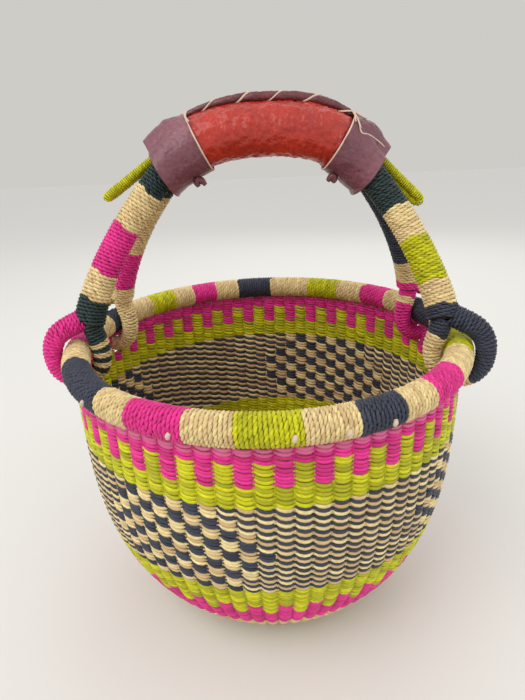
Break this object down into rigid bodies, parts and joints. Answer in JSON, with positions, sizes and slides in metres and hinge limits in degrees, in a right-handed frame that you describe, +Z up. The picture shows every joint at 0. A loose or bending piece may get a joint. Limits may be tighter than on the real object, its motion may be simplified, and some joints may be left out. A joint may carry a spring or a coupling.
{
  "type": "bolga basket",
  "caption": "Oval bolga basket twined from dyed grass in coloured bands, with a cord-bound rim and a carrying handle of two bows looped round the rim and joined under a leather grip.",
  "frame": {"origin": "middle of the flat base, on the surface that the basket stands on", "axes": "+Z up, -Y towards the front of the basket, where both near loops of the front bow are seen, and +X to the right, along the grip"},
  "size_m": [0.319, 0.3187, 0.3851],
  "materials": {
    "natural_cord": "undyed twisted grass cord, matt with a dry straw sheen",
    "lime_cord": "lime-dyed twisted grass cord, matt",
    "magenta_cord": "magenta-dyed twisted grass cord, matt, a little uneven",
    "navy_cord": "navy-dyed twisted grass cord, matt",
    "dark_green_cord": "dark-green-dyed twisted grass cord, matt",
    "grass_core": "bundled dry grass under the bindings, rough",
    "red_leather": "brick-red pebbled goat leather, soft sheen",
    "brown_leather": "dark reddish-brown leather with raw cream edges, soft sheen",
    "cream_thread": "undyed cotton lace thread, matt"
  },
  "bodies": {
    "basket": {"woven_base": "natural_cord", "lower_weave_band": "lime_cord", "middle_weave_band": "natural_cord", "upper_weave_band": "magenta_cord", "rim_hoop": "grass_core", "rim_binding_01": "lime_cord", "rim_binding_02": "natural_cord", "rim_binding_03": "navy_cord", "rim_binding_04": "natural_cord", "rim_binding_05": "magenta_cord", "rim_binding_06": "natural_cord", "rim_binding_07": "lime_cord", "rim_binding_08": "natural_cord", "rim_binding_09": "navy_cord", "rim_binding_10": "natural_cord", "rim_binding_11": "magenta_cord", "rim_binding_12": "natural_cord", "rim_binding_13": "lime_cord", "rim_binding_14": "natural_cord", "rim_binding_15": "navy_cord", "rim_binding_16": "natural_cord", "rim_binding_17": "magenta_cord", "rim_binding_18": "natural_cord", "rim_binding_19": "lime_cord", "rim_binding_20": "natural_cord", "rim_binding_21": "navy_cord", "rim_binding_22": "natural_cord", "rim_binding_23": "magenta_cord", "rim_binding_24": "natural_cord", "rim_binding_25": "navy_cord", "rim_binding_26": "natural_cord", "rim_binding_27": "magenta_cord", "rim_binding_28": "natural_cord"},
    "handle": {"front_bow_core": "grass_core", "back_bow_core": "grass_core", "front_left_top_binding": "dark_green_cord", "front_left_upper_binding": "natural_cord", "front_left_middle_binding": "magenta_cord", "front_left_lower_binding": "natural_cord", "front_left_neck_binding": "dark_green_cord", "front_left_ring_binding": "magenta_cord", "front_right_top_binding": "dark_green_cord", "front_right_upper_binding": "natural_cord", "front_right_middle_binding": "lime_cord", "front_right_lower_binding": "natural_cord", "front_right_neck_binding": "navy_cord", "front_right_ring_binding": "natural_cord", "back_left_top_binding": "dark_green_cord", "back_left_upper_binding": "natural_cord", "back_left_middle_binding": "magenta_cord", "back_left_neck_binding": "natural_cord", "back_right_upper_binding": "navy_cord", "back_right_lower_binding": "natural_cord", "back_right_neck_binding": "magenta_cord", "grip_sleeve": "red_leather", "left_cuff": "brown_leather", "right_cuff": "brown_leather", "hanging_cord_bundle": "lime_cord", "spine_strip": "brown_leather", "spine_lace": "cream_thread"}
  },
  "joints": [
    {"name": "handle_rock", "type": "hinge", "parent": "basket", "child": "handle", "pos_m": [0, 0.005, 0.211], "axis": [1, 0, 0], "range_deg": [-2, 2]}
  ]
}
